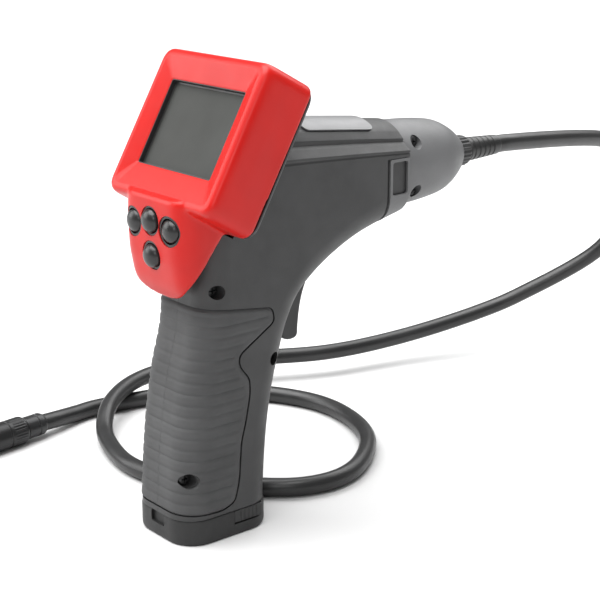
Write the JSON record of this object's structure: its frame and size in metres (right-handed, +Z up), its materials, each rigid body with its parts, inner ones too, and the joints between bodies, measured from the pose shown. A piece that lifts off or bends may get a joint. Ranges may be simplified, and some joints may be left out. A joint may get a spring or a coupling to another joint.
{
  "type": "inspection camera",
  "caption": "Pistol-grip inspection camera: tilted display with keypad, ribbed grip, trigger, nose coupling, and a stiff plug-in cable with a camera head.",
  "frame": {"origin": "centre of the handle's foot, on the surface that the tool stands on", "axes": "+Z up, +X from the user towards the nose and the cable, -Y the user's right-hand side"},
  "size_m": [0.4022, 0.1961, 0.2139],
  "materials": {
    "housing": "fine moulded texture, dark grey",
    "grip_rubber": "ribbed soft overmould, mid grey",
    "screw_steel": "blackened steel",
    "red_frame": "satin red",
    "window": "clear with an anti-glare tint",
    "lcd": "unlit display panel",
    "circuit_board": "green solder mask",
    "key_rubber": "black domed keys, satin",
    "black_plastic": "black moulded plastic",
    "battery_cell": "plain wrapped cell",
    "nose_grey": "light grey moulded plastic",
    "cable_sheath": "smooth black sheath with a soft sheen",
    "head_metal": "black anodised",
    "head_glass": "clear",
    "lens_glass": "dark coated lens",
    "led": "white light source with a yellow phosphor, unlit",
    "blank_label": "plain blank silver-white label"
  },
  "bodies": {
    "tool": {"right_housing": "housing", "left_housing": "housing", "right_grip_rubber": "grip_rubber", "left_grip_rubber": "grip_rubber", "screw_neck": "screw_steel", "screw_strap": "screw_steel", "screw_grip": "screw_steel", "display_bezel": "red_frame", "display_rear_cover": "housing", "display_window": "window", "lcd_panel": "lcd", "display_board": "circuit_board", "keypad_board": "circuit_board", "trigger_pin": "screw_steel", "trigger_spring": "screw_steel", "trigger_switch": "black_plastic", "main_board": "circuit_board", "battery_carrier": "black_plastic", "battery_1": "battery_cell", "battery_2": "battery_cell", "battery_3": "battery_cell", "battery_4": "battery_cell", "battery_contact_board": "circuit_board", "right_nose": "nose_grey", "left_nose": "nose_grey", "screw_nose_upper": "screw_steel", "screw_nose_lower": "screw_steel", "cable_socket": "black_plastic", "cable_plug": "black_plastic", "strain_relief": "cable_sheath", "camera_cable": "cable_sheath", "head_collar": "head_metal", "camera_head": "head_metal", "head_board": "circuit_board", "head_window": "head_glass", "head_lens": "lens_glass", "head_led_1": "led", "head_led_2": "led", "head_led_3": "led", "head_led_4": "led", "top_label": "blank_label"},
    "key_left": {"key_left": "key_rubber"},
    "key_middle": {"key_middle": "key_rubber"},
    "key_right": {"key_right": "key_rubber"},
    "key_lower": {"key_lower": "key_rubber"},
    "trigger": {"trigger": "black_plastic"},
    "battery_cover": {"battery_cover": "housing"},
    "right_latch": {"right_latch": "black_plastic"},
    "left_latch": {"left_latch": "black_plastic"},
    "coupling_nut": {"coupling_nut": "black_plastic"}
  },
  "joints": [
    {"name": "key_left_press", "type": "slide", "parent": "tool", "child": "key_left", "axis": [1, 0, 0], "range_m": [0, 0.0012], "stiffness_N_per_m": 600},
    {"name": "key_middle_press", "type": "slide", "parent": "tool", "child": "key_middle", "axis": [1, 0, 0], "range_m": [0, 0.0012], "stiffness_N_per_m": 600},
    {"name": "key_right_press", "type": "slide", "parent": "tool", "child": "key_right", "axis": [1, 0, 0], "range_m": [0, 0.0012], "stiffness_N_per_m": 600},
    {"name": "key_lower_press", "type": "slide", "parent": "tool", "child": "key_lower", "axis": [1, 0, 0], "range_m": [0, 0.0012], "stiffness_N_per_m": 600},
    {"name": "trigger_pull", "type": "hinge", "parent": "tool", "child": "trigger", "pos_m": [0.041, 0, 0.121], "axis": [0, 1, 0], "range_deg": [0, 6], "stiffness_Nm_per_rad": 0.4, "deforming": ["trigger_spring"]},
    {"name": "battery_cover_slide", "type": "slide", "parent": "tool", "child": "battery_cover", "axis": [0, 0, -1], "range_m": [0, 0.04]},
    {"name": "right_latch_squeeze", "type": "slide", "parent": "battery_cover", "child": "right_latch", "axis": [0, 1, 0], "range_m": [0, 0.002], "stiffness_N_per_m": 500},
    {"name": "left_latch_squeeze", "type": "slide", "parent": "battery_cover", "child": "left_latch", "axis": [0, -1, 0], "range_m": [0, 0.002], "stiffness_N_per_m": 500},
    {"name": "coupling_nut_turn", "type": "hinge", "parent": "tool", "child": "coupling_nut", "pos_m": [0.16, 0, 0.1544], "axis": [1, 0, 0], "continuous": true}
  ]
}
